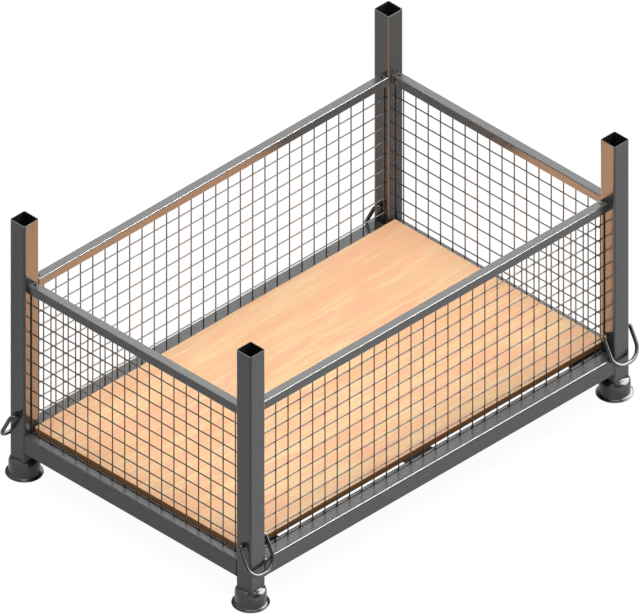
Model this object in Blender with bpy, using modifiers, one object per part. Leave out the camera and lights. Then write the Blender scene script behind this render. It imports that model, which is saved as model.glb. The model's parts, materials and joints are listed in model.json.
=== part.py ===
"""Mesh box pallet: a welded tube frame on cup feet, with wire mesh walls, a plywood floor and a
lifting bail on each corner post. Metres, +Z up, origin on the ground at the middle of the base.
X runs along the long sides, -Y is the front long side, and -X is the left short side."""

import math

import bmesh
import bpy
from mathutils import Matrix, Vector

# Posts, and the overall size
POST_SIZE = 0.060
POST_WALL = 0.003
POST_ROUND = 0.006
POST_X = 0.740
POST_Y = 0.460
TOTAL_HEIGHT = 0.890
GAP = 0.0003

# Base rails and cross member, of the same tube as the posts
BASE_TOP = 0.150

# Top rails
RAIL_SIZE = 0.030
RAIL_WALL = 0.002
RAIL_ROUND = 0.003
RAIL_TOP = 0.678
VENT_RADIUS = 0.004
VENT_FROM_POST = 0.013

# Mesh walls
WIRE = 0.004
PITCH = 0.050
WIRE_SIDES = 6
LAYER_STEP = 0.0038
WELD_DEPTH = 0.0005

# Floor board and corner gussets
BOARD_THICK = 0.021
BOARD_SIDE_GAP = 0.004
BOARD_END_GAP = 0.007
GUSSET_LEG = 0.117
GUSSET_SNIP = 0.010
GUSSET_THICK = 0.005

# Cup feet, pressed from plate, with a rim that flares out at the ground
CUP_RIM = 0.056
CUP_BODY = 0.0464
CUP_WALL = 0.003
CUP_KNUCKLE = 0.020
CUP_SPRING = 0.0402
CUP_FLARE = 0.0055
CUP_LIP = 0.0045
CROWN_RISE = 0.0005
CUP_SIDES = 20

# Lifting bails, bent from round bar
BAIL_BAR = 0.012
BAIL_SIDE_GAP = 0.016
BAIL_PIN_INSIDE = 0.014
BAIL_LENGTH = 0.105
BAIL_BEND = 0.044
BAIL_PIN_BEND = 0.012
BAIL_SHIFT = 0.006
BAIL_ABOVE_BASE = 0.0675
BAIL_HOLE_GAP = 0.0025

STEEL = (0.090, 0.090, 0.088)
STEEL_DARK = (0.070, 0.070, 0.070)
PLYWOOD = (0.940, 0.600, 0.330)


# Collections, materials and objects
def new_collection(name):
    group = bpy.data.collections.new(name)
    bpy.context.scene.collection.children.link(group)
    return group


def material(name, color, metallic, roughness):
    made = bpy.data.materials.new(name)
    made.use_nodes = True
    shader = made.node_tree.nodes["Principled BSDF"]
    shader.inputs["Base Color"].default_value = (*color, 1.0)
    shader.inputs["Metallic"].default_value = metallic
    shader.inputs["Roughness"].default_value = roughness
    made.diffuse_color = (*color, 1.0)
    return made


def add_object(name, mesh, group, look):
    made = bpy.data.objects.new(name, mesh)
    group.objects.link(made)
    mesh.materials.append(look)
    return made


def add_cutter(name, mesh, cutters):
    made = bpy.data.objects.new(name, mesh)
    cutters.objects.link(made)
    made.hide_render = True
    made.display_type = "WIRE"
    return made


def boolean(made, other, operation):
    step = made.modifiers.new(operation.title(), "BOOLEAN")
    step.operation = operation
    step.object = other


# Meshes from curves and primitives
def mesh_from_curve(curve):
    """The curve's solid as a closed mesh: its caps are welded to its sides."""
    holder = bpy.data.objects.new(curve.name, curve)
    bpy.context.scene.collection.objects.link(holder)
    bpy.context.view_layer.update()
    graph = bpy.context.evaluated_depsgraph_get()
    mesh = bpy.data.meshes.new_from_object(holder.evaluated_get(graph))
    bpy.data.objects.remove(holder)
    cage = bmesh.new()
    cage.from_mesh(mesh)
    bmesh.ops.remove_doubles(cage, verts=cage.verts, dist=0.00001)
    cage.to_mesh(mesh)
    cage.free()
    mesh.shade_smooth()
    mesh.set_sharp_from_angle(angle=math.radians(40))
    return mesh


def add_line(curve, points, closed):
    line = curve.splines.new("POLY")
    line.points.add(len(points) - 1)
    for slot, point in zip(line.points, points):
        slot.co = (*point, 1.0)
    line.use_cyclic_u = closed


def extruded_mesh(name, outlines, length):
    """Closed outlines in the XY plane, each inner one a hole, drawn out along Z by length."""
    curve = bpy.data.curves.new(name, "CURVE")
    curve.dimensions = "2D"
    curve.fill_mode = "BOTH"
    curve.extrude = length / 2
    for points in outlines:
        add_line(curve, [(x, y, 0.0) for x, y in points], True)
    return mesh_from_curve(curve)


def rounded_square(size, rounding, steps):
    """Corner points of a square with rounded corners, counter-clockwise."""
    reach = size / 2 - rounding
    points = []
    for corner in range(4):
        start = corner * math.pi / 2
        middle = Matrix.Rotation(start, 2) @ Vector((reach, reach))
        for step in range(steps + 1):
            angle = start + step / steps * math.pi / 2
            points.append(middle + rounding * Vector((math.cos(angle), math.sin(angle))))
    return points


def square_tube(name, size, wall, rounding, length):
    """A square tube along Z, open at both ends and centred on the origin."""
    outer = rounded_square(size, rounding, 3)
    inner = rounded_square(size - 2 * wall, max(rounding - wall, wall / 2), 1)
    return extruded_mesh(name, [outer, inner], length)


def cylinder_mesh(name, radius, length, sides, turn):
    cage = bmesh.new()
    bmesh.ops.create_cone(
        cage, cap_ends=True, segments=sides, radius1=radius, radius2=radius, depth=length,
        matrix=turn,
    )
    mesh = bpy.data.meshes.new(name)
    cage.to_mesh(mesh)
    cage.free()
    return mesh


def arc(centre, radius, start, end, steps):
    """Points on an arc, as distance and height, between two angles in degrees."""
    points = []
    for i in range(steps + 1):
        angle = math.radians(start + (end - start) * i / steps)
        points.append((centre[0] + radius * math.cos(angle), centre[1] + radius * math.sin(angle)))
    return points


def turn_profile(made):
    """A solid of revolution about Z from an object whose mesh is a profile."""
    screw = made.modifiers.new("Turn", "SCREW")
    screw.steps = CUP_SIDES
    screw.render_steps = CUP_SIDES
    screw.use_merge_vertices = True
    screw.merge_threshold = 0.00005
    screw.use_smooth_shade = True


def profile_mesh(name, profile):
    """A line of points, each a radius and a height, that starts and ends on the axis."""
    mesh = bpy.data.meshes.new(name)
    points = [(radius, 0.0, height) for radius, height in profile]
    mesh.from_pydata(points, [(i, i + 1) for i in range(len(points) - 1)], [])
    return mesh


# The four corners: name, x and y of the post's centre
def corners():
    places = []
    for word_y, side_y in (("front", -1), ("rear", 1)):
        for word_x, side_x in (("left", -1), ("right", 1)):
            places.append((f"{word_y}_{word_x}", side_x * POST_X, side_y * POST_Y))
    return places


# Cup feet
def dome_outline(offset):
    """The outside of the cup from its crown down to its straight body, moved out by offset."""
    knuckle = (CUP_BODY - CUP_KNUCKLE, CUP_SPRING)
    crown = CUP_SPRING + CUP_KNUCKLE + offset + CROWN_RISE
    return [(0.0, crown)] + arc(knuckle, CUP_KNUCKLE + offset, 90, 0, 4)


def cup_outline():
    """Down the outside to the flared rim, across the ground and up the inside to the axis."""
    flare = arc((CUP_BODY + CUP_FLARE, CUP_LIP + CUP_FLARE), CUP_FLARE, 180, 270, 2)
    rim = [(CUP_RIM, CUP_LIP / 2), (CUP_RIM - CUP_LIP / 2, 0.0)]
    throat = [(CUP_BODY + CUP_FLARE - CUP_WALL, 0.0), (CUP_BODY - CUP_WALL, CUP_LIP + CUP_FLARE)]
    knuckle = (CUP_BODY - CUP_KNUCKLE, CUP_SPRING)
    ceiling = arc(knuckle, CUP_KNUCKLE - CUP_WALL, 0, 90, 3)
    crown = CUP_SPRING + CUP_KNUCKLE - CUP_WALL + CROWN_RISE
    return dome_outline(0.0) + flare + rim + throat + ceiling + [(0.0, crown)]


def add_feet(group, look):
    for name, x, y in corners():
        foot = add_object("cup_foot_" + name, profile_mesh("cup", cup_outline()), group, look)
        foot.location = (x, y, 0.0)
        turn_profile(foot)


# Posts
def add_posts(group, cutters, look):
    """Each post's lower end is cut to the dome of its cup, and its side walls hold the bail."""
    length = TOTAL_HEIGHT - CUP_SPRING
    along_x = Matrix.Rotation(math.pi / 2, 4, "Y")
    below = [(CUP_BODY + GAP, 0.0), (0.0, 0.0)]
    for name, x, y in corners():
        tube = square_tube("post_tube", POST_SIZE, POST_WALL, POST_ROUND, length)
        post = add_object("corner_post_" + name, tube, group, look)
        post.location = (x, y, TOTAL_HEIGHT - length / 2)
        dome_mesh = profile_mesh("dome", dome_outline(GAP) + below)
        dome = add_cutter("dome_cutter_" + name, dome_mesh, cutters)
        dome.location = (x, y, 0.0)
        turn_profile(dome)
        boolean(post, dome, "DIFFERENCE")
        hole_radius = BAIL_BAR / 2 + BAIL_HOLE_GAP
        hole_mesh = cylinder_mesh("bail_hole", hole_radius, 2 * POST_SIZE, 12, along_x)
        hole = add_cutter("bail_hole_cutter_" + name, hole_mesh, cutters)
        hole.location = (x, y, BASE_TOP + BAIL_ABOVE_BASE)
        boolean(post, hole, "DIFFERENCE")


# Rails
def between_posts(post_distance):
    return 2 * post_distance - POST_SIZE - 2 * GAP


def add_rail(name, group, look, mesh, along, place):
    """A tube laid down along X or Y."""
    rail = add_object(name, mesh, group, look)
    rail.rotation_euler = (0.0, math.pi / 2, 0.0) if along == "X" else (math.pi / 2, 0.0, 0.0)
    rail.location = place
    return rail


def base_tube(length):
    return square_tube("base_tube", POST_SIZE, POST_WALL, POST_ROUND, length)


def add_base(group, look):
    z = BASE_TOP - POST_SIZE / 2
    along_x = between_posts(POST_X)
    along_y = between_posts(POST_Y)
    for word, side in (("front", -1), ("rear", 1)):
        place = (0.0, side * POST_Y, z)
        add_rail("base_rail_" + word, group, look, base_tube(along_x), "X", place)
    for word, side in (("left", -1), ("right", 1)):
        place = (side * POST_X, 0.0, z)
        add_rail("base_rail_" + word, group, look, base_tube(along_y), "Y", place)
    add_rail("base_cross_member", group, look, base_tube(along_y), "Y", (0.0, 0.0, z))


def long_rail_offset():
    """The long top rails lie flush with the posts' inner faces."""
    return POST_Y - POST_SIZE / 2 + RAIL_SIZE / 2


def top_tube(length):
    return square_tube("top_tube", RAIL_SIZE, RAIL_WALL, RAIL_ROUND, length)


def cut_vents(rail, cutters, places):
    """A vent hole through the top wall near each end of the rail."""
    for i, (x, y) in enumerate(places):
        mesh = cylinder_mesh("vent", VENT_RADIUS, RAIL_SIZE, 10, Matrix.Identity(4))
        cutter = add_cutter(f"{rail.name}_vent_{i}", mesh, cutters)
        cutter.location = (x, y, RAIL_TOP)
        boolean(rail, cutter, "DIFFERENCE")


def add_top_rails(group, cutters, look):
    z = RAIL_TOP - RAIL_SIZE / 2
    to_vent = POST_SIZE / 2 + VENT_FROM_POST
    for word, side in (("front", -1), ("rear", 1)):
        y = side * long_rail_offset()
        mesh = top_tube(between_posts(POST_X))
        rail = add_rail("top_rail_" + word, group, look, mesh, "X", (0.0, y, z))
        cut_vents(rail, cutters, [(end * (POST_X - to_vent), y) for end in (-1, 1)])
    for word, side in (("left", -1), ("right", 1)):
        x = side * POST_X
        mesh = top_tube(between_posts(POST_Y))
        rail = add_rail("top_rail_" + word, group, look, mesh, "Y", (x, 0.0, z))
        cut_vents(rail, cutters, [(x, end * (POST_Y - to_vent)) for end in (-1, 1)])


# Mesh walls
def wires_mesh(name, wires, length, turn, layer):
    """Parallel wires, from pairs of a position and whether the wire is at the border.

    Wires of the two layers pass each other with a gap, and a border wire is deep enough to be
    welded to all that cross it."""
    cage = bmesh.new()
    for position, border in wires:
        depth = (LAYER_STEP - GAP) / 2 + (WELD_DEPTH if border else 0.0)
        place = Matrix.Translation((position, layer, 0.0))
        stretch = Matrix.Diagonal((WIRE / 2, depth, length, 1.0))
        bmesh.ops.create_cone(
            cage, cap_ends=True, segments=WIRE_SIDES, radius1=1.0, radius2=1.0,
            depth=1.0, matrix=turn @ place @ stretch,
        )
    mesh = bpy.data.meshes.new(name)
    cage.to_mesh(mesh)
    cage.free()
    return mesh


def add_panel(name, group, cutters, look, width, place, turn):
    """A welded mesh wall, made in its own XZ plane, that fills its bay.

    The uprights keep half a pitch or more from the border, and the rows count from the base."""
    low = BASE_TOP + GAP
    high = RAIL_TOP - RAIL_SIZE - GAP
    middle = (low + high) / 2
    side = (width - WIRE) / 2
    end = (high - low - WIRE) / 2
    spaces = int((width - PITCH) / PITCH)
    uprights = [((i - spaces / 2) * PITCH, False) for i in range(spaces + 1)]
    row_count = int((high - WIRE - BASE_TOP) / PITCH)
    rows = [(BASE_TOP + (i + 1) * PITCH - middle, False) for i in range(row_count)]
    uprights += [(-side, True), (side, True)]
    rows += [(-end, True), (end, True)]
    across = Matrix.Rotation(-math.pi / 2, 4, "Y")
    standing = wires_mesh(name, uprights, high - low, Matrix.Identity(4), -LAYER_STEP / 2)
    lying = wires_mesh(name + "_rows", rows, width, across, LAYER_STEP / 2)
    panel = add_object(name, standing, group, look)
    row_set = add_cutter(name + "_rows", lying, cutters)
    for made in (panel, row_set):
        made.rotation_euler = (0.0, 0.0, turn)
        made.location = (*place, middle)
    boolean(panel, row_set, "UNION")


def add_panels(group, cutters, look):
    for word, side, turn in (("front", -1, 0.0), ("rear", 1, math.pi)):
        add_panel("mesh_panel_" + word, group, cutters, look,
                  between_posts(POST_X), (0.0, side * long_rail_offset()), turn)
    for word, side, turn in (("left", -1, -math.pi / 2), ("right", 1, math.pi / 2)):
        add_panel("mesh_panel_" + word, group, cutters, look,
                  between_posts(POST_Y), (side * POST_X, 0.0), turn)


# Floor
def add_board(group, look):
    """The board lies between the long base rails and ends on the short ones."""
    half_x = POST_X - BOARD_END_GAP
    half_y = POST_Y - POST_SIZE / 2 - BOARD_SIDE_GAP
    cage = bmesh.new()
    stretch = Matrix.Diagonal((2 * half_x, 2 * half_y, BOARD_THICK, 1.0))
    bmesh.ops.create_cube(cage, size=1.0, matrix=stretch)
    mesh = bpy.data.meshes.new("board")
    cage.to_mesh(mesh)
    cage.free()
    board = add_object("floor_board", mesh, group, look)
    board.location = (0.0, 0.0, BASE_TOP + GAP + BOARD_THICK / 2)


def add_gussets(group, look):
    """Three-cornered plates with snipped tips, welded under the floor inside each corner."""
    outline = [
        (0.0, 0.0), (GUSSET_LEG, 0.0), (GUSSET_LEG, GUSSET_SNIP),
        (GUSSET_SNIP, GUSSET_LEG), (0.0, GUSSET_LEG),
    ]
    quarter_turns = {"front_left": 0, "front_right": 1, "rear_right": 2, "rear_left": 3}
    to_inside = POST_SIZE / 2 + GAP
    z = BASE_TOP - POST_ROUND - GUSSET_THICK / 2
    for name, x, y in corners():
        mesh = extruded_mesh("gusset", [outline], GUSSET_THICK)
        plate = add_object("corner_gusset_" + name, mesh, group, look)
        plate.rotation_euler = (0.0, 0.0, quarter_turns[name] * math.pi / 2)
        inner_x = math.copysign(POST_X - to_inside, x)
        inner_y = math.copysign(POST_Y - to_inside, y)
        plate.location = (inner_x, inner_y, z)


# Lifting bails
def bail_path():
    """The centre line of a bail that hangs straight down, in its own XZ plane, pivot at zero."""
    half_width = POST_SIZE / 2 + BAIL_SIDE_GAP + BAIL_BAR / 2
    pin_bend = arc((BAIL_PIN_BEND - half_width, -BAIL_PIN_BEND), BAIL_PIN_BEND, 90, 180, 4)
    foot_bend = arc((BAIL_BEND - half_width, BAIL_BEND - BAIL_LENGTH), BAIL_BEND, 180, 270, 6)
    half = [(BAIL_PIN_INSIDE - POST_SIZE / 2, 0.0)] + pin_bend + foot_bend
    return half + [(-x, z) for x, z in reversed(half)]


def bail_mesh():
    curve = bpy.data.curves.new("bail", "CURVE")
    curve.dimensions = "3D"
    curve.bevel_depth = BAIL_BAR / 2
    curve.bevel_resolution = 2
    curve.use_fill_caps = True
    add_line(curve, [(x, 0.0, z) for x, z in bail_path()], False)
    return mesh_from_curve(curve)


def rest_tilt():
    """The angle from straight down at which a bail leans on the base rail's round top edge."""
    reach = POST_SIZE / 2 - POST_ROUND
    drop = BAIL_ABOVE_BASE + POST_ROUND
    apart = BAIL_BAR / 2 + POST_ROUND + GAP
    return math.atan2(reach, drop) + math.asin(apart / math.hypot(reach, drop))


def add_bails(group, look):
    for name, x, y in corners():
        outwards = math.copysign(1.0, y)
        bail = add_object("lifting_bail_" + name, bail_mesh(), group, look)
        bail.rotation_euler = (outwards * rest_tilt(), 0.0, 0.0)
        bail.location = (x - outwards * BAIL_SHIFT, y, BASE_TOP + BAIL_ABOVE_BASE)


def main():
    for old in list(bpy.data.objects):
        bpy.data.objects.remove(old)
    pallet = new_collection("mesh_box_pallet")
    cutters = new_collection("cutters")
    steel = material("painted_steel", STEEL, 0.35, 0.42)
    wire = material("mesh_wire", STEEL, 0.35, 0.45)
    bar = material("bail_bar", STEEL_DARK, 0.45, 0.35)
    plywood = material("plywood", PLYWOOD, 0.0, 0.55)
    add_feet(pallet, steel)
    add_posts(pallet, cutters, steel)
    add_base(pallet, steel)
    add_top_rails(pallet, cutters, steel)
    add_panels(pallet, cutters, wire)
    add_board(pallet, plywood)
    add_gussets(pallet, steel)
    add_bails(pallet, bar)


main()
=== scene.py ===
# %% [markdown]
# # A mesh box pallet in Blender
# This box pallet stands in warehouses: four square posts on pressed cup feet, tube rails
# between them, walls of welded wire mesh, a plywood floor, and a lifting bail of bent round bar
# on each post. Its CAD model is the fixed frame of this scene. Every piece below is worked out
# with numpy as a surface, and is put where the frame says, in metres.

# %% Load the frame
import json
import math

import bpy
import numpy as np
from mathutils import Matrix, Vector

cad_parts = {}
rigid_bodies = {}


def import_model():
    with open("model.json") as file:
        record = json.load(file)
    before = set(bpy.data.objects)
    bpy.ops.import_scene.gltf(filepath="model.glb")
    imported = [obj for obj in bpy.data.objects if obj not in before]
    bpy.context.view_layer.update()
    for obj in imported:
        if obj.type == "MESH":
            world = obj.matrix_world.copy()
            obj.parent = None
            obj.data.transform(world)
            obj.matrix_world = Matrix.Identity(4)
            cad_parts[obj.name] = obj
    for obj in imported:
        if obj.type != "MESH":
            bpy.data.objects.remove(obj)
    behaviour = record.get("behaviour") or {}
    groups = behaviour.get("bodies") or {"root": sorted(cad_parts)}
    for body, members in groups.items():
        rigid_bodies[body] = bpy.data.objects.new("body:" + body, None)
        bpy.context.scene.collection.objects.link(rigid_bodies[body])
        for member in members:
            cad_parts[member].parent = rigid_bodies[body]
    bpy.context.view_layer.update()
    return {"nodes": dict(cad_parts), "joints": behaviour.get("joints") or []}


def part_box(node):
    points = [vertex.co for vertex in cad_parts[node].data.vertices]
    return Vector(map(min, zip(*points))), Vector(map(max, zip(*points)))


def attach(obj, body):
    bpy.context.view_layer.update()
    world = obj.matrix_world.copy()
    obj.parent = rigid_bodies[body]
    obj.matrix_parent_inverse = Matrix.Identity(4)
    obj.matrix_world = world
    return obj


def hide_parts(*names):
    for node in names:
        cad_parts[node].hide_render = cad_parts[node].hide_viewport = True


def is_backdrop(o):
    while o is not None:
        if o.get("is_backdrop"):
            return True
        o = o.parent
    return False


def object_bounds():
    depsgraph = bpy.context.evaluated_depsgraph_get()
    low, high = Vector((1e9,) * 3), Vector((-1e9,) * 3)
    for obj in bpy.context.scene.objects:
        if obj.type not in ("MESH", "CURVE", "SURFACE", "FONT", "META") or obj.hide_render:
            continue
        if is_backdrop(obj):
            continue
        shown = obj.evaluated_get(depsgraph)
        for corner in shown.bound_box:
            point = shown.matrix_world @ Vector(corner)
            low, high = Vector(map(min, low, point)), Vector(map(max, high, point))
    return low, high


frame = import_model()

# %% [markdown]
# Few sizes make such a pallet: the tube sections with their walls and corner rounding, the wire
# and its pitch, and the radii of the pressed foot. They come from the photograph, with the usual
# mesh pitch of 50 mm as its scale, and from stock sizes near what it shows. Each is named in
# metres where it is first needed. The rest follows from where the frame's nodes are, and first
# of all from where the four posts stand.

# %% Find the posts
post_boxes = {name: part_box("corner_post_" + name) for name in
              ("front_left", "front_right", "rear_left", "rear_right")}
posts = {name: ((low.x + high.x) / 2, (low.y + high.y) / 2)
         for name, (low, high) in post_boxes.items()}
POST_TOP, BASE_TOP = post_boxes["front_left"][1].z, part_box("base_rail_front")[1].z
print("posts at", {name: (round(x, 3), round(y, 3)) for name, (x, y) in posts.items()})

# %% [markdown]
# A part is a set of points with faces over them. All the shapes here are grids: rings of points
# stacked from one end to the other. Each face joins a point to its neighbours, always in the
# order that turns left when it is seen from outside, so that it looks outwards.

# %% Skin over rings of points


def skin(rings, joined=False, inner=()):
    """A surface over rings of points, an array of ring, point and coordinate.

    Point p of ring r is number r * points + p. Each face takes points p and p + 1 of ring r and
    then those of ring r + 1, so rings that turn left and climb give faces that look outwards.
    The last ring is joined to the first, or a flat face closes each end. The rows of faces
    named in inner get the second finish of the piece."""
    count, around = rings.shape[:2]
    ring, point = np.meshgrid(np.arange(count if joined else count - 1), np.arange(around),
                              indexing="ij")
    over, beside = (ring + 1) % count, (point + 1) % around
    quads = np.stack([ring * around + point, ring * around + beside,
                      over * around + beside, over * around + point], axis=-1).reshape(-1, 4)
    finish = np.isin(ring, list(inner)).astype(int).ravel()
    faces = [(quads, finish)]
    if not joined:
        caps = np.stack([np.arange(around)[::-1], (count - 1) * around + np.arange(around)])
        faces.append((caps, np.zeros(2, int)))
    return rings.reshape(-1, 3), faces


def join(parts):
    """One part of several: each part's faces count on from the points before it."""
    points, faces, before = [], [], 0
    for part_points, part_faces in parts:
        points.append(part_points)
        faces += [(corners + before, finish) for corners, finish in part_faces]
        before += len(part_points)
    return np.concatenate(points), faces


def repeat(part, shifts):
    """A part at many places: its points plus each shift, and its faces once for each."""
    points, faces = part
    shifts = np.asarray(shifts, float)
    copies = np.arange(len(shifts))[:, None, None] * len(points)
    return ((points[None] + shifts[:, None]).reshape(-1, 3),
            [((corners[None] + copies).reshape(-1, corners.shape[1]),
              np.tile(finish, len(shifts))) for corners, finish in faces])


def quarter_turn(part, turns):
    """A part turned left about Z by quarters of a circle: x becomes -y and y becomes x."""
    points, faces = part
    for _ in range(turns % 4):
        points = np.stack([-points[:, 1], points[:, 0], points[:, 2]], axis=1)
    return points, faces


def shift(part, place):
    """A part with a place added to its points."""
    return part[0] + np.asarray(place, float), part[1]


print("a ring of four points twice makes", len(skin(np.zeros((2, 4, 3)))[1][0][0]), "side faces")

# %% [markdown]
# Square steel tube has round outside corners, and its sawn ends are only deburred. The outline
# is four quarter circles with straight flats between them. One more point beside each arc holds
# the flats flat, because smooth shading would otherwise bend them near the corners.

# %% Outline of a square tube
POST, POST_WALL, POST_ROUND = 0.060, 0.003, 0.006


def rounded_outline(size_x, size_y, radius, steps=5, hold=0.0009):
    """Points round a rectangle with round corners, turning left.

    Each corner is its centre plus radius times (cos a, sin a) over a quarter of a circle, and
    each holding point lies a step of hold along the flat beside it."""
    signs = np.array([[1, 1], [-1, 1], [-1, -1], [1, -1]])
    centres = signs * (np.array([size_x, size_y]) / 2 - radius)
    angle = np.radians(np.arange(4)[:, None] * 90 + np.linspace(0, 90, steps + 1)[None])
    ray = np.stack([np.cos(angle), np.sin(angle)], axis=-1)
    along = np.stack([-ray[..., 1], ray[..., 0]], axis=-1)
    arcs = centres[:, None] + radius * ray
    before, after = arcs[:, :1] - hold * along[:, :1], arcs[:, -1:] + hold * along[:, -1:]
    return np.concatenate([before, arcs, after], axis=1).reshape(-1, 2)


def tube(size, wall, radius, low, high, ease=0.0005, least=0.0006):
    """A standing square tube from low to high, with eased rims and a hollow.

    Its rings go up the outside, over the rim and down the inside, and each is the outline drawn
    in by its own inset, and its corner radius never falls under least. The low end may be a
    height that depends on x and y."""
    rings = []
    for inset, end, step in ((ease, low, 0), (0, low, ease), (0, high, -ease), (ease, high, 0),
                             (wall - ease, high, 0), (wall, high, -ease), (wall, low, ease),
                             (wall - ease, low, 0)):
        flat = rounded_outline(size - 2 * inset, size - 2 * inset, max(radius - inset, least))
        height = end(*flat.T) if callable(end) else np.full(len(flat), end)
        rings.append(np.column_stack([flat, height + step]))
    return skin(np.array(rings), joined=True, inner=(4, 5, 6))


def lay(points, axis):
    """Standing points laid along X or Y: the coordinates roll on by one or two places."""
    return np.roll(points, {"X": 1, "Y": 2}[axis], axis=1)


print("outline of a post has", len(rounded_outline(POST, POST, POST_ROUND)), "points")

# %% [markdown]
# A mesh and an object hold each part. Smooth shading with sharp edges above 30 degrees keeps
# the sawn rims crisp and the round corners round. The object stays at the origin, because the
# part already lies in its place, and it rides on a body of the frame.

# %% Put a piece in the scene
SHARP = 30


def smooth(mesh, sharp):
    """Smooth shading, except over edges that bend by more than sharp degrees."""
    mesh.shade_smooth()
    mesh.set_sharp_from_angle(angle=math.radians(sharp))


def new_object(name, part, finishes):
    """An object in the scene, with one mesh of a part's points and faces and their finishes."""
    points, faces = part
    mesh = bpy.data.meshes.new(name)
    mesh.from_pydata(points.tolist(), [],
                     [face for corners, _ in faces for face in corners.tolist()])
    numbers = np.concatenate([finish for _, finish in faces]).astype(np.int32)
    mesh.polygons.foreach_set("material_index", numbers)
    for finish in finishes:
        mesh.materials.append(finish)
    made = bpy.data.objects.new(name, mesh)
    bpy.context.scene.collection.objects.link(made)
    return made


def add_piece(name, part, body, finishes, replaced=(), sharp=SHARP):
    """A piece of the pallet: its object, its body and what it stands for."""
    piece = new_object(name, part, finishes)
    smooth(piece.data, sharp)
    piece.data.update()
    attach(piece, body)
    if replaced:
        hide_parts(*replaced)
    print(name, "has", len(part[0]), "points")
    return piece


print("edges are sharp from", SHARP, "degrees")

# %% [markdown]
# ## Finishes
# A material is a small network of nodes. Its colours are written as the hex values that a
# picture program shows, and one function turns them to the linear light that Blender counts in.
# One more function adds any node with its settings, its plain values and its links.

# %% Colour and node helpers


def linear(hex_colour):
    """Linear red, green, blue and alpha of an sRGB hex colour, by the sRGB curve."""
    srgb = np.array([int(hex_colour[i:i + 2], 16) for i in (1, 3, 5)]) / 255
    return (*np.where(srgb <= 0.04045, srgb / 12.92, ((srgb + 0.055) / 1.055) ** 2.4).tolist(), 1.0)


def add_node(tree, kind, values=None, links=None, **settings):
    """A node with its settings, the plain values of its inputs, and links into its inputs."""
    made = tree.nodes.new(kind)
    for name, value in settings.items():
        setattr(made, name, value)
    for name, value in (values or {}).items():
        made.inputs[name].default_value = value
    for name, (node, output) in (links or {}).items():
        tree.links.new(node.outputs[output], made.inputs[name])
    return made


def new_material(name, colour):
    """An empty material tree with its output, and the plain colour that viewports show."""
    made = bpy.data.materials.new(name)
    made.use_nodes = True
    made.node_tree.nodes.clear()
    made.diffuse_color = linear(colour)
    return made, made.node_tree


print("mid grey #808080 is", round(linear("#808080")[0], 3), "in linear light")

# %% [markdown]
# The steel is mild steel tube with a gloss stove enamel, a dark neutral grey. The lacquer flows
# out smooth but keeps a faint orange peel, 1.5 to 3 mm from wave to wave. Its colour drifts a
# little over a hand's width, and handling dulls the gloss in patches. Paint is no metal: metallic
# stays 0, and an IOR near 1.5 gives the reflection that lacquer has.

# %% Stove enamel
DRIFT, RUBBED = 0.09, 0.025


def enamel(name, dark, light, roughness, peel_mm, ior=1.5):
    """Gloss paint: patches of two near colours, patches of roughness, and orange peel."""
    made, tree = new_material(name, dark)
    place = add_node(tree, "ShaderNodeTexCoord")
    patches = add_node(tree, "ShaderNodeTexNoise", {"Scale": 1 / DRIFT, "Detail": 3.0},
                       {"Vector": (place, "Object")})
    colour = add_node(tree, "ShaderNodeMix", {"A": linear(dark), "B": linear(light)},
                      {"Factor": (patches, "Fac")}, data_type="RGBA")
    rubbed = add_node(tree, "ShaderNodeTexNoise", {"Scale": 1 / RUBBED, "Detail": 4.0},
                      {"Vector": (place, "Object")})
    gloss = add_node(tree, "ShaderNodeMapRange",
                     {"From Min": 0.3, "From Max": 0.7, "To Min": roughness - 0.04,
                      "To Max": roughness + 0.05}, {"Value": (rubbed, "Fac")})
    peel = add_node(tree, "ShaderNodeTexNoise", {"Scale": 1000 / peel_mm, "Detail": 1.0},
                    {"Vector": (place, "Object")})
    bump = add_node(tree, "ShaderNodeBump", {"Strength": 0.25, "Distance": peel_mm * 2e-6},
                    {"Height": (peel, "Fac")})
    shader = add_node(tree, "ShaderNodeBsdfPrincipled", {"Metallic": 0.0, "IOR": ior},
                      {"Base Color": (colour, "Result"), "Roughness": (gloss, "Result"),
                       "Normal": (bump, "Normal")})
    add_node(tree, "ShaderNodeOutputMaterial", links={"Surface": (shader, "BSDF")})
    return made


post_enamel = enamel("stove_enamel_on_posts", "#303030", "#373736", 0.20, 3.0)
base_enamel = enamel("stove_enamel_on_base_tube", "#3C3C3C", "#424241", 0.28, 3.0, 1.44)
rail_enamel = enamel("stove_enamel_on_top_tube", "#3C3C3C", "#424241", 0.20, 1.5)
foot_enamel = enamel("polished_enamel_on_pressed_cup", "#2B2B2A", "#333332", 0.20, 3.0, 1.55)
bail_enamel = enamel("polished_enamel_on_round_bar", "#1E1E1E", "#262625", 0.15, 3.0, 1.55)
wire_enamel = enamel("stove_enamel_on_wire", "#1F1B18", "#2A2520", 0.32, 2.0)
weld_enamel = enamel("stove_enamel_on_weld_bead", "#2C2C2B", "#353534", 0.40, 1.5)
print("seven enamels made")

# %% [markdown]
# Inside the tubes there is no paint, only mill scale, the oxide that hot rolling leaves. Its colour
# here is made nearly black and dull, darker than the oxide itself, as painted shade, so the open
# mouths of the posts look like black holes. The walls of the drilled holes take it too, as painted
# shade, though they are bare steel.

# %% Mill scale and painted shade
SPECKLE = 0.006


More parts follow.
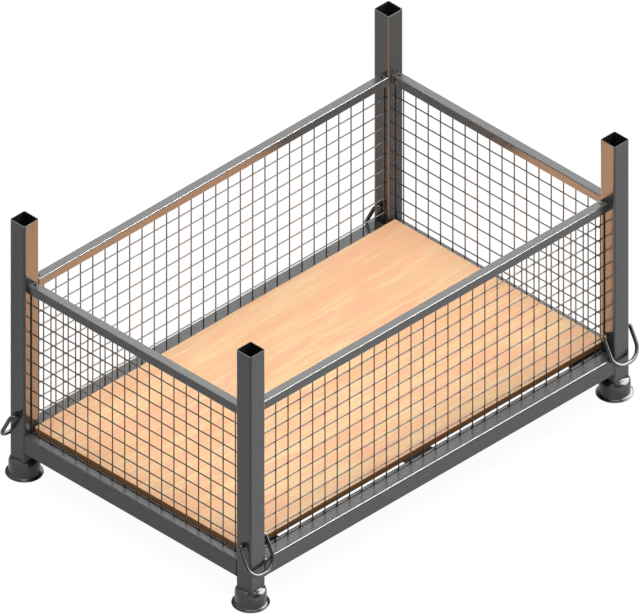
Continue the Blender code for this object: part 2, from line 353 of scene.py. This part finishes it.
def mill_scale():
    """Oxide made nearly black as painted shade, with a speckle of brown, rough and with hardly any
    reflection.
    """
    made, tree = new_material("mill_scale", "#0A0A0A")
    place = add_node(tree, "ShaderNodeTexCoord")
    speckle = add_node(tree, "ShaderNodeTexNoise", {"Scale": 1 / SPECKLE, "Detail": 4.0},
                       {"Vector": (place, "Object")})
    colour = add_node(tree, "ShaderNodeMix", {"A": linear("#060606"), "B": linear("#120F0D")},
                      {"Factor": (speckle, "Fac")}, data_type="RGBA")
    shader = add_node(tree, "ShaderNodeBsdfPrincipled",
                      {"Roughness": 0.85, "Specular IOR Level": 0.1},
                      {"Base Color": (colour, "Result")})
    add_node(tree, "ShaderNodeOutputMaterial", links={"Surface": (shader, "BSDF")})
    return made


inside_oxide_and_painted_shade = mill_scale()
print("mill scale made")

# %% [markdown]
# The floor is birch plywood with a clear coat. Its face veneer is peeled from the log, which
# gives long wandering figure along X: bands some 70 mm wide, streaks of 12 mm, and short dark
# pore lines. Real pores are a tenth of a millimetre, too fine to show here, so they are drawn
# 4 mm wide. Noise stretched along the grain draws all three, and a fourth of 36 mm gives the red
# blush of the heartwood. The sawn edges show the plies, layers of about 1.4 mm.

# %% Birch plywood
BANDS, STREAKS, PORES, BLUSH = 0.070, 0.012, 0.004, 0.036
TWO_PLIES, WAVE_RADIANS, END_GRAIN = 0.0028, 20, 0.002


def ply_face():
    """Veneer: three noises, each stretched along X and times its share, add up to the grain,
    which picks between two wood colours, and a fourth noise blends in the blush."""
    made, tree = new_material("birch_face_veneer", "#EDBC87")
    place = add_node(tree, "ShaderNodeTexCoord")
    layers = []
    for width, stretch, detail in ((BANDS, 9, 2.0), (STREAKS, 25, 3.0), (PORES, 30, 2.0),
                                   (BLUSH, 5, 3.0)):
        pulled = add_node(tree, "ShaderNodeMapping", {"Scale": (1 / stretch, 1.0, 1.0)},
                          {"Vector": (place, "Object")})
        layers.append(add_node(tree, "ShaderNodeTexNoise",
                               {"Scale": 1 / width, "Detail": detail, "Distortion": 0.4},
                               {"Vector": (pulled, "Vector")}))
    grain = None
    for layer, share in zip(layers, (0.35, 0.35, 0.3)):
        sum_before = {2: (grain, "Value")} if grain else {}
        grain = add_node(tree, "ShaderNodeMath", {1: share, 2: 0.0},
                         {0: (layer, "Fac"), **sum_before}, operation="MULTIPLY_ADD")
    spread = add_node(tree, "ShaderNodeMapRange", {"From Min": 0.40, "From Max": 0.60},
                      {"Value": (grain, "Value")})
    wood = add_node(tree, "ShaderNodeMix", {"A": linear("#FFDAA8"), "B": linear("#F6BE8E")},
                    {"Factor": (spread, "Result")}, data_type="RGBA")
    blush = add_node(tree, "ShaderNodeMapRange",
                     {"From Min": 0.45, "From Max": 0.62, "To Max": 0.8},
                     {"Value": (layers[3], "Fac")})
    colour = add_node(tree, "ShaderNodeMix", {"B": linear("#FFBE95")},
                      {"Factor": (blush, "Result"), "A": (wood, "Result")}, data_type="RGBA")
    bump = add_node(tree, "ShaderNodeBump", {"Strength": 0.2, "Distance": 0.0001},
                    {"Height": (layers[2], "Fac")})
    shader = add_node(tree, "ShaderNodeBsdfPrincipled",
                      {"Roughness": 0.5, "Specular IOR Level": 0.2},
                      {"Base Color": (colour, "Result"), "Normal": (bump, "Normal")})
    add_node(tree, "ShaderNodeOutputMaterial", links={"Surface": (shader, "BSDF")})
    return made


def ply_edge():
    """Sawn edge: bands across Z, 15 plies in 21 mm, broken up by end grain.

    The wave node turns by WAVE_RADIANS times its scale in a metre, and a full turn is two
    plies, so the scale is 2 pi over both."""
    made, tree = new_material("birch_ply_edge", "#7A5A40")
    place = add_node(tree, "ShaderNodeTexCoord")
    plies = add_node(tree, "ShaderNodeTexWave",
                     {"Scale": 2 * math.pi / (TWO_PLIES * WAVE_RADIANS), "Distortion": 0.6,
                      "Detail": 1.0}, {"Vector": (place, "Object")}, bands_direction="Z")
    pores = add_node(tree, "ShaderNodeTexNoise", {"Scale": 1 / END_GRAIN, "Detail": 2.0},
                     {"Vector": (place, "Object")})
    mixed = add_node(tree, "ShaderNodeMix", {"Factor": 0.35},
                     {"A": (plies, "Fac"), "B": (pores, "Fac")}, data_type="FLOAT")
    colour = add_node(tree, "ShaderNodeMix", {"A": linear("#8F6440"), "B": linear("#C08A5B")},
                      {"Factor": (mixed, "Result")}, data_type="RGBA")
    shader = add_node(tree, "ShaderNodeBsdfPrincipled",
                      {"Roughness": 0.8, "Specular IOR Level": 0.1},
                      {"Base Color": (colour, "Result")})
    add_node(tree, "ShaderNodeOutputMaterial", links={"Surface": (shader, "BSDF")})
    return made


veneer, ply = ply_face(), ply_edge()
print("plywood finishes made")

# %% [markdown]
# ## Cup feet
# Each foot is pressed from 3 mm plate: a bell with a round knuckle, and a rim that flares out
# at the ground, so that the foot of one pallet drops over the post of the one below it. The
# shape is a turned one: a profile of distance and height, carried round the Z axis.

# %% Turn a cup foot
CUP_BODY, CUP_KNUCKLE, CUP_SPRING, CUP_WALL = 0.0464, 0.020, 0.0402, 0.003
CUP_FLARE, CUP_LIP, CUP_RIM = 0.0055, 0.0045, 0.056


def arc(centre, radius, start, end, steps):
    """Centre plus radius times (cos a, sin a), for angles in degrees from start to end."""
    angle = np.radians(np.linspace(start, end, steps + 1))
    return np.column_stack([centre[0] + radius * np.cos(angle), centre[1] + radius * np.sin(angle)])


def turned(profile, sides=72):
    """Each profile point (r, z) becomes the ring (r cos a, r sin a, z), turning left."""
    angle = np.arange(sides) / sides * 2 * np.pi
    distance, height = profile[:, 0, None], profile[:, 1, None]
    return skin(np.stack([distance * np.cos(angle), distance * np.sin(angle),
                          height + 0 * angle], axis=-1))


def cup_profile():
    """From the crown down the inside, round the rim, and up the outside to the crown."""
    knuckle = (CUP_BODY - CUP_KNUCKLE, CUP_SPRING)
    inner_crown = [(0.002, CUP_SPRING + CUP_KNUCKLE - CUP_WALL)]
    inner_knuckle = arc(knuckle, CUP_KNUCKLE - CUP_WALL, 90, 0, 10)
    inner_foot = arc((CUP_BODY + CUP_FLARE, CUP_LIP + CUP_FLARE), CUP_FLARE + CUP_WALL, 180, 222, 4)
    throat = [(CUP_BODY + CUP_FLARE - CUP_WALL, 0.0)]
    rim = arc((CUP_RIM - CUP_LIP / 2, CUP_LIP / 2), CUP_LIP / 2, -90, 90, 8)
    flare = arc((CUP_BODY + CUP_FLARE, CUP_LIP + CUP_FLARE), CUP_FLARE, 270, 180, 8)
    outer_knuckle = arc(knuckle, CUP_KNUCKLE, 0, 90, 14)
    outer_crown = [(0.002, CUP_SPRING + CUP_KNUCKLE)]
    return np.concatenate([inner_crown, inner_knuckle, inner_foot, throat, rim, flare,
                           outer_knuckle, outer_crown])


for name, (x, y) in posts.items():
    add_piece("foot_" + name, shift(turned(cup_profile()), (x, y, 0)), "frame",
              [foot_enamel], ["cup_foot_" + name])

# %% [markdown]
# ## Welds
# The welder runs a fillet bead along each joint, and the pool sets in ripples some 2.5 mm
# apart, like a row of fallen coins. A bead is a round bar along a path, whose radius swells
# and shrinks with the distance along it. The same round bar later makes wires and bails.

# %% Round bar along a path
BASE_BEAD, TOP_BEAD, FOOT_BEAD = 0.0020, 0.0014, 0.0017
RIPPLE, SWELL = 0.0025, 0.13


def along(path, closed=False):
    """Distance along a path to each of its points, and its direction there.

    The direction is the difference of the two neighbours, made one long."""
    following = np.roll(path, -1, axis=0) - path
    travel = np.concatenate([[0.0], np.cumsum(np.linalg.norm(following, axis=1))[:-1]])
    if closed:
        heading = np.roll(path, -1, axis=0) - np.roll(path, 1, axis=0)
    else:
        heading = np.gradient(path, axis=0)
    return travel, heading / np.linalg.norm(heading, axis=1, keepdims=True)


def round_bar(path, radius, side, sides=16, closed=False):
    """Rings about a path: point + radius * (cos a * right + sin a * up).

    Right is the side vector with its part along the path taken out, and up is the path's
    direction crossed with it, so each ring stands square to the path."""
    _, heading = along(path, closed)
    right = np.asarray(side, float) - (heading @ np.asarray(side, float))[:, None] * heading
    right /= np.linalg.norm(right, axis=1, keepdims=True)
    up = np.cross(heading, right)
    angle = np.arange(sides) / sides * 2 * np.pi
    radius = np.broadcast_to(radius, len(path))[:, None, None]
    ring = right[:, None] * np.cos(angle)[:, None] + up[:, None] * np.sin(angle)[:, None]
    return skin(path[:, None] + radius * ring, joined=closed)


def resample(path, step, closed=False):
    """The same path with points every step: each coordinate read off at even distances."""
    if closed:
        path = np.concatenate([path, path[:1]])
    travel = np.concatenate([[0.0], np.cumsum(np.linalg.norm(np.diff(path, axis=0), axis=1))])
    count = max(int(round(travel[-1] / step)), 8)
    even = np.linspace(0, travel[-1], count + 1)[:(-1 if closed else None)]
    return np.column_stack([np.interp(even, travel, path[:, i]) for i in range(3)])


def weld_bead(path, radius, side, closed=False):
    """A bar whose radius is the bead's times 1 + SWELL |cos| of its ripples, RIPPLE apart."""
    path = resample(path, 0.0007, closed)
    travel, _ = along(path, closed)
    ripple = 1 + SWELL * np.abs(np.cos(np.pi * travel / RIPPLE))
    return round_bar(path, radius * ripple, side, sides=8, closed=closed)


bead_60 = weld_bead(np.array([[0, 0, 0], [0.06, 0, 0]]), BASE_BEAD, (0, 0, 1))
print("a 60 mm bead has", len(bead_60[0]), "points")

# %% [markdown]
# ## Posts
# A post is a tube whose foot end is cut to the dome of its cup, so that it sits down on it all
# round and can be welded there. Its two side walls have a loose hole for the bail's pins. The
# holes are drilled with a Boolean, which is applied at once, so the piece is plain mesh. A seat
# is the hair by which welded parts are pushed together, so that no gap shows.

# %% Stand the posts on the cups
SEAT, BAIL_HOLE, DRILL_REACH = 0.0002, 0.0085, 0.05


def dome_height(x, y):
    """Height of the cup's outside at x, y from its axis: a circle's arc over the distance."""
    out = np.maximum(np.hypot(x, y) - (CUP_BODY - CUP_KNUCKLE), 0.0)
    return CUP_SPRING + np.sqrt(CUP_KNUCKLE ** 2 - out ** 2) + SEAT


def drill(piece, part):
    """Takes a part's volume out of a piece and leaves no modifier behind."""
    # The walls that the drill leaves take the bit's near-black mill scale: painted shade in the
    # hole.
    bit = new_object("drill", part, [inside_oxide_and_painted_shade])
    cut = piece.modifiers.new("drill", "BOOLEAN")
    cut.operation, cut.object, cut.solver = "DIFFERENCE", bit, "EXACT"
    cut.material_mode = "TRANSFER"
    bpy.context.view_layer.update()
    drilled = piece.evaluated_get(bpy.context.evaluated_depsgraph_get())
    cut_mesh = bpy.data.meshes.new_from_object(drilled)
    piece.modifiers.clear()
    old, piece.data = piece.data, cut_mesh
    bpy.data.meshes.remove(old)
    cut_mesh.name = piece.name
    bpy.data.objects.remove(bit)
    smooth(cut_mesh, SHARP)


def straight(start, end):
    """A path of two points."""
    return np.linspace(np.asarray(start, float), np.asarray(end, float), 2)


pivots = {joint["child"]: Vector(joint["pos_m"]) for joint in frame["joints"]}
for name, (x, y) in posts.items():
    tall = tube(POST, POST_WALL, POST_ROUND, dome_height, POST_TOP)
    post = add_piece("post_" + name, shift(tall, (x, y, 0)), "frame",
                     [post_enamel, inside_oxide_and_painted_shade], ["corner_post_" + name])
    hole_z = pivots["bail_" + name].z
    across_post = straight((x - DRILL_REACH, y, hole_z), (x + DRILL_REACH, y, hole_z))
    drill(post, round_bar(across_post, BAIL_HOLE, (0, 0, 1), sides=40))
    print(post.name, "drilled at height", round(hole_z, 4))

# %% [markdown]
# ## Rails
# The base is of the same tube as the posts. Each rail takes its length from its node, and a
# small bead runs round it at every end. Where two flush tubes meet, the round corner of the post
# leaves a dark groove.

# %% Base rails and cross member
BEAD_IN = 0.0004
UNIT = {"X": np.array([1.0, 0.0, 0.0]), "Y": np.array([0.0, 1.0, 0.0])}


def rail_between(node, size, wall, radius):
    """A tube laid in the box of a node, pushed up to the faces that it is welded to."""
    low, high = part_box(node)
    axis = "X" if high.x - low.x > high.y - low.y else "Y"
    middle = (low + high) / 2
    reach = max(high.x - low.x, high.y - low.y) / 2 + SEAT
    points, faces = tube(size, wall, radius, -reach, reach)
    return axis, middle, reach, shift((lay(points, axis), faces), middle)


def end_beads(axis, middle, reach, size, radius, bead):
    """A closed bead round each end: the tube's outline, drawn in, stood up across the axis."""
    flat = rounded_outline(size - bead, size - bead, radius)
    beads = []
    for end in (-1, 1):
        ring = np.column_stack([flat, np.full(len(flat), end * (reach - BEAD_IN))])
        beads.append(weld_bead(lay(ring, axis) + np.array(middle), bead, UNIT[axis], closed=True))
    return beads


beads = []
for name in ("base_rail_front", "base_rail_rear", "base_rail_left", "base_rail_right",
             "base_cross_member"):
    axis, middle, reach, part = rail_between(name, POST, POST_WALL, POST_ROUND)
    add_piece(name.replace("base_", "tube_base_"), part, "frame",
              [base_enamel, inside_oxide_and_painted_shade], [name])
    beads += end_beads(axis, middle, reach, POST, POST_ROUND, BASE_BEAD)

# %% [markdown]
# The top rails are of 30 mm tube. Near each end such a rail has a vent hole in its upper wall, so
# that the tube can drain and breathe. It is drilled from the tube's hollow upwards, which leaves
# the lower wall whole.

# %% Top rails with vent holes
RAIL, RAIL_WALL, RAIL_ROUND = 0.030, 0.002, 0.003
VENT_RADIUS, VENT_FROM_END = 0.004, 0.013
for name in ("top_rail_front", "top_rail_rear", "top_rail_left", "top_rail_right"):
    axis, middle, reach, part = rail_between(name, RAIL, RAIL_WALL, RAIL_ROUND)
    rail = add_piece(name.replace("top_", "tube_top_"), part, "frame",
                     [rail_enamel, inside_oxide_and_painted_shade], [name])
    for end in (-1, 1):
        at = np.array(middle) + end * (reach - VENT_FROM_END) * UNIT[axis]
        through_top = straight(at + [0, 0, RAIL / 6], at + [0, 0, RAIL])
        drill(rail, round_bar(through_top, VENT_RADIUS, (1, 0, 0), sides=24))
    beads += end_beads(axis, middle, reach, RAIL, RAIL_ROUND, TOP_BEAD)

# %% [markdown]
# One more bead runs round the bottom of each post, half a millimetre outside its faces, and
# follows the dome of the cup up and down. All the beads together are one piece.

# %% Beads round the feet
BEAD_OUT = 0.001
for name, (x, y) in posts.items():
    flat = rounded_outline(POST + BEAD_OUT, POST + BEAD_OUT, POST_ROUND)
    ring = np.column_stack([flat + (x, y), dome_height(*flat.T) + SEAT])
    beads.append(weld_bead(ring, FOOT_BEAD, (0, 0, 1), closed=True))
add_piece("weld_beads", join(beads), "frame", [weld_enamel], sharp=60)

# %% [markdown]
# ## Mesh walls
# A wall is a flat lattice of 4 mm wire at 50 mm: uprights on the outside and rows inside. Every
# crossing is spot welded: current and pressure sink the two wires into each other and squeeze
# out a small nugget. The wires are bars, placed all at once, and a nugget of a few dozen faces
# is repeated over the crossings.

# %% Weave the four mesh walls
WIRE, PITCH, LAYER = 0.004, 0.050, 0.0038
NUGGET, NUGGET_DEPTH = 0.0025, 0.0028


def nugget(radius, depth):
    """A small flattened ball: rings of radius cos b at height sin b, flattened across."""
    rise = np.radians(np.linspace(-75, 75, 5))
    ball = turned(np.column_stack([radius * np.cos(rise), radius * np.sin(rise)]), sides=8)
    return ball[0] * np.array([1.0, depth / radius, 1.0]), ball[1]


def mesh_wall(width, low, high, uprights):
    """A wall in its own XZ plane that looks to -Y: uprights in front, rows behind them."""
    middle = (low + high) / 2
    edge, end = (width - WIRE) / 2, (high - low - WIRE) / 2
    stand = np.concatenate([[-edge], (np.arange(uprights) - (uprights - 1) / 2) * PITCH, [edge]])
    rows = int((high - low - WIRE) / PITCH)
    lie = np.concatenate([[middle - end], BASE_TOP + (np.arange(rows) + 1) * PITCH, [middle + end]])
    upright = round_bar(straight((0, -LAYER / 2, low), (0, -LAYER / 2, high)), WIRE / 2, (1, 0, 0),
                        sides=12)
    row = round_bar(straight((-width / 2, LAYER / 2, 0), (width / 2, LAYER / 2, 0)), WIRE / 2,
                    (0, 0, 1), sides=12)
    across, along_z = np.meshgrid(stand, lie)
    crossings = np.column_stack([across.ravel(), 0 * across.ravel(), along_z.ravel()])
    return join([repeat(upright, [(s, 0, 0) for s in stand]), repeat(row, [(0, 0, z) for z in lie]),
                 repeat(nugget(NUGGET, NUGGET_DEPTH), crossings)])


for word, turns, node in (("front", 0, "mesh_panel_front"), ("right", 1, "mesh_panel_right"),
                          ("rear", 2, "mesh_panel_rear"), ("left", 3, "mesh_panel_left")):
    low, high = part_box(node)
    width = max(high.x - low.x, high.y - low.y)
    uprights = int(width / PITCH)
    wall = quarter_turn(mesh_wall(width, low.z, high.z, uprights), turns)
    middle = (low + high) / 2
    add_piece("mesh_wall_" + word, shift(wall, (middle.x, middle.y, 0)), "frame",
              [wire_enamel], [node], sharp=50)
    print("with", uprights, "uprights between its border wires")

# %% [markdown]
# ## Lifting bails
# A bail is a 12 mm round bar, bent to a long U whose two ends turn in and sit loose in the holes
# of its post. It leans on the round edge of the base rail. The path is straight lines and arcs
# in the bail's own plane, and it is tilted about the pin before the bar is drawn along it. The
# sawn ends are chamfered.

# %% Bend the bails
BAR, BAIL_GAP, PIN_INSIDE, BAIL_LENGTH = 0.012, 0.016, 0.014, 0.105
BAIL_BEND, PIN_BEND, BAIL_AIR, CHAMFER = 0.044, 0.012, 0.0003, 0.0008


def bail_path():
    """Half of the bail in its plane: pin, quarter bend, leg and foot bend; then its mirror."""
    half_width = POST / 2 + BAIL_GAP + BAR / 2
    pin = [(PIN_INSIDE - POST / 2, 0.0), (PIN_INSIDE - POST / 2 - CHAMFER, 0.0)]
    pin_bend = arc((PIN_BEND - half_width, -PIN_BEND), PIN_BEND, 90, 180, 10)
    foot_bend = arc((BAIL_BEND - half_width, BAIL_BEND - BAIL_LENGTH), BAIL_BEND, 180, 270, 24)
    half = np.concatenate([pin, pin_bend, foot_bend])
    return np.concatenate([half, half[::-1] * (-1, 1)])


def rest_tilt(pivot):
    """The angle at which the bar touches the rail's round edge: the direction to that edge plus
    the angle whose sine is bar and edge radius over the distance."""
    drop = pivot.z - (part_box("base_rail_front")[1].z - POST_ROUND)
    reach = POST / 2 - POST_ROUND
    lean = math.asin((BAR / 2 + POST_ROUND + BAIL_AIR) / math.hypot(reach, drop))
    return math.atan2(reach, drop) + lean


for name, (x, y) in posts.items():
    pivot = pivots["bail_" + name]
    tilt = math.copysign(rest_tilt(pivot), y)
    flat = bail_path()
    path = np.column_stack([flat[:, 0], -flat[:, 1] * math.sin(tilt), flat[:, 1] * math.cos(tilt)])
    radius = np.full(len(path), BAR / 2)
    radius[[0, -1]] -= CHAMFER
    bar = round_bar(path, radius, (0, math.cos(tilt), math.sin(tilt)), sides=24)
    add_piece("bail_" + name, shift(bar, pivot), "bail_" + name, [bail_enamel],
              ["lifting_bail_" + name])
    print("it leans out by", round(abs(math.degrees(tilt)), 1), "degrees")

# %% [markdown]
# ## Floor board
# One sheet of 21 mm plywood lies on the base frame. Its sawn edges are broken with sandpaper,
# which leaves a tiny chamfer. The flat faces get the veneer and the sides the plies.

# %% Saw the floor board
board_low, board_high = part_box("floor_board")
board = board_high - board_low
rings = []
for inset, z in ((CHAMFER, board_low.z), (0.0, board_low.z + CHAMFER),
                 (0.0, board_high.z - CHAMFER), (CHAMFER, board_high.z)):
    flat = rounded_outline(board.x - 2 * inset, board.y - 2 * inset, 0.002, 3)
    rings.append(np.column_stack([flat, np.full(len(flat), z)]))
add_piece("plywood_floor", skin(np.array(rings), inner=(0, 1)), "frame", [veneer, ply],
          ["floor_board"])

# %% [markdown]
# The gusset plates under the floor keep their shape from the frame, because they are flat plates
# there too. They only get the enamel.

# %% Paint the gussets
for name in posts:
    plate = frame["nodes"]["corner_gusset_" + name]
    plate.data.materials.clear()
    plate.data.materials.append(base_enamel)
print("gussets painted")

# %% [markdown]
# ## Studio
# The pallet stands on a pale floor in front of a white backdrop. Camera, mirror and glass rays
# see both as white, while the light that they throw on the object stays plain. To the camera
# the floor glows and keeps only a faint shadow. In polished paint it shows as half glow and half
# lit paper, so the shadow under the pallet is mirrored as a darker patch.

# %% White floor and world
SKY_LIGHT, SKY_SEEN, FLOOR_GREY = 0.22, 1.0, 0.45
GLOW_SEEN, GLOW_MIRRORED, PAPER_SEEN, PAPER_MIRRORED = 0.96, 0.51, 0.07, 0.50
FLOOR_HALF = 8.0


def seen_rays(tree):
    """One for rays from the camera, a mirror or glass, and zero for the rest."""
    ray = add_node(tree, "ShaderNodeLightPath")
    mirror = add_node(tree, "ShaderNodeMath", {},
                      {0: (ray, "Is Camera Ray"), 1: (ray, "Is Glossy Ray")}, operation="MAXIMUM")
    return add_node(tree, "ShaderNodeMath", {}, {0: (mirror, 0), 1: (ray, "Is Transmission Ray")},
                    operation="MAXIMUM")


world = bpy.data.worlds.new("white_studio")
bpy.context.scene.world = world
world.use_nodes = True
tree = world.node_tree
tree.nodes.clear()
seen = seen_rays(tree)
level = add_node(tree, "ShaderNodeMapRange", {"To Min": SKY_LIGHT, "To Max": SKY_SEEN},
                 {"Value": (seen, 0)})
sky = add_node(tree, "ShaderNodeBackground", {"Color": (1, 1, 1, 1)},
               {"Strength": (level, "Result")})
add_node(tree, "ShaderNodeOutputWorld", links={"Surface": (sky, "Background")})

floor_white, tree = new_material("white_studio_floor", "#FFFFFF")
seen = seen_rays(tree)
ray = add_node(tree, "ShaderNodeLightPath")
plain = add_node(tree, "ShaderNodeBsdfDiffuse", {"Color": (FLOOR_GREY,) * 3 + (1,)})
strength = add_node(tree, "ShaderNodeMapRange", {"To Min": GLOW_SEEN, "To Max": GLOW_MIRRORED},
                    {"Value": (ray, "Is Glossy Ray")})
shade = add_node(tree, "ShaderNodeMapRange", {"To Min": PAPER_SEEN, "To Max": PAPER_MIRRORED},
                 {"Value": (ray, "Is Glossy Ray")})
shaded = add_node(tree, "ShaderNodeBsdfDiffuse", links={"Color": (shade, "Result")})
glow = add_node(tree, "ShaderNodeEmission", {"Color": (1, 1, 1, 1)},
                {"Strength": (strength, "Result")})
bright = add_node(tree, "ShaderNodeAddShader", {}, {0: (shaded, 0), 1: (glow, 0)})
both = add_node(tree, "ShaderNodeMixShader", {}, {0: (seen, 0), 1: (plain, 0), 2: (bright, 0)})
add_node(tree, "ShaderNodeOutputMaterial", links={"Surface": (both, 0)})


def stage_card(name, corners, material):
    """A flat card through four corners, which belongs to the studio and not to the object."""
    mesh = bpy.data.meshes.new(name)
    mesh.from_pydata(corners, [], [(0, 1, 2, 3)])
    mesh.materials.append(material)
    card = bpy.data.objects.new(name, mesh)
    bpy.context.scene.collection.objects.link(card)
    card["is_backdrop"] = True
    return card


stage_card("studio_floor", [(x * FLOOR_HALF, y * FLOOR_HALF, 0) for x, y in
                            ((-1, -1), (1, -1), (1, 1), (-1, 1))], floor_white)
print("floor of", 2 * FLOOR_HALF, "m laid")

# %% [markdown]
# Polished round bar looks round because something dark is mirrored beside the lights. Two black
# flags stand for that, one in front and one behind. Only mirrored rays see them, and they throw
# no shadow.

# %% Black flags
FLAG_TOP = 3.0
flag_black, tree = new_material("black_flag", "#000000")
cloth = add_node(tree, "ShaderNodeBsdfDiffuse", {"Color": (0.01, 0.01, 0.01, 1)})
add_node(tree, "ShaderNodeOutputMaterial", links={"Surface": (cloth, 0)})
for name, start, end, y in (("flag_front", -2.2, 0.4, -3.5), ("flag_behind", -1.3, 1.6, 3.0)):
    flag = stage_card(name, [(start, y, 0.01), (end, y, 0.01), (end, y, FLAG_TOP),
                             (start, y, FLAG_TOP)], flag_black)
    flag.visible_camera = flag.visible_diffuse = flag.visible_shadow = False
    print(name, "is", round(end - start, 1), "m wide")

# %% [markdown]
# One soft box high over the pallet lights everything, and its shadows are soft and short. What
# polished paint mirrors beside it comes from lamps that only mirrored rays see. A big window at
# the right shines on the round bars, wires and feet, and a small bright one draws the white line
# along the round edges of the tubes: each is tied to a collection of the pieces that it may
# light, so that the flat faces stay calm. One lamp behind brightens the flat tops, and low cards
# brighten the front and the left rail. The last lamp lies over the plywood and stands for what
# the pale board throws back: paint that looks down on the board mirrors it as warm tan. The far
# lamps stand in a direction from the middle of the pallet, at a distance, and the cards lie a
# few millimetres off the board or the floor.

# %% Lamps


def area_lamp(name, place, towards, width, depth, radiance, colour=(1, 1, 1), diffuse=False,
              lights=None):
    """A flat lamp that looks from place to towards: its power is radiance, pi and area."""
    lamp = bpy.data.lights.new(name, "AREA")
    lamp.shape, lamp.size, lamp.size_y = "RECTANGLE", width, depth
    lamp.energy = radiance * math.pi * width * depth
    lamp.color = colour
    made = bpy.data.objects.new(name, lamp)
    bpy.context.scene.collection.objects.link(made)
    made.location = place
    made.rotation_mode = "QUATERNION"
    made.rotation_quaternion = (Vector(towards) - Vector(place)).to_track_quat("-Z", "Y")
    made.visible_camera = False
    made.visible_diffuse = diffuse
    if lights:
        made.light_linking.receiver_collection = lights
    print(name, "of", round(lamp.energy), "W")


def pieces_named(title, *starts):
    """A collection of the scene's pieces whose names start with one of some words."""
    chosen = bpy.data.collections.new(title)
    for piece in bpy.context.scene.collection.all_objects:
        if piece.name.startswith(starts):
            chosen.objects.link(piece)
    return chosen


round_bars = pieces_named("round_bars", "bail_", "foot_", "mesh_wall_")
tubes = pieces_named("tubes", "tube_", "post_")
centre = Vector((0.0, 0.0, 0.44))
for name, direction, distance, width, depth, radiance, diffuse, lights in (
        ("top_light", (-0.07, -0.1, 1), 8, 5.0, 5.0, 7.8, True, None),
        ("window_light", (0.83, -0.30, 0.47), 6, 10.0, 6.4, 13.0, False, round_bars),
        ("back_light", (0.75, 1, 1.2), 10, 9.5, 7.0, 2.05, False, None),
        ("edge_light", (1, -0.51, 1.32), 10, 3.0, 3.4, 95.0, False, tubes)):
    area_lamp(name, centre + Vector(direction).normalized() * distance, centre, width, depth,
              radiance, diffuse=diffuse, lights=lights)
edge_z = (board_low.z + board_high.z) / 2
area_lamp("side_card", (board_low.x - 0.002, 0, edge_z), (-2, 0, edge_z), board.y - 0.02, board.z,
          1.7)
area_lamp("front_card", (0.8, -1.75, 0.003), (0.8, -1.75, 2), 3.6, 2.4, 0.57)
area_lamp("board_light", (0, 0, board_high.z + 0.004), (0, 0, 2), board.x - 0.04, board.y - 0.02,
          4.3, (1.0, 0.56, 0.33))

# %% [markdown]
# The picture was taken with parallel rays, from above the near corner: every edge along X, Y and
# Z is shortened alike. An orthographic camera along (1, 1, -1) gives that, and its scale is the
# width of the view in metres.

# %% Camera
VIEW_WIDTH, TARGET, AWAY = 1.840, Vector((0.0009, -0.0009, 0.4402)), 4.0
camera_data = bpy.data.cameras.new("camera")
camera_data.type = "ORTHO"
camera_data.ortho_scale = VIEW_WIDTH
camera = bpy.data.objects.new("camera", camera_data)
bpy.context.scene.collection.objects.link(camera)
look = Vector((1, 1, -1)).normalized()
camera.location = TARGET - AWAY * look
camera.rotation_mode = "QUATERNION"
camera.rotation_quaternion = look.to_track_quat("-Z", "Y")
bpy.context.scene.camera = camera
bpy.context.scene.view_settings.view_transform = "Standard"
print("camera looks along", [round(v, 3) for v in look])

# %% [markdown]
# Last, the box of the dressed model is printed.

# %% Print the size
low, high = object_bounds()
print("visual size", [round(s, 4) for s in high - low])
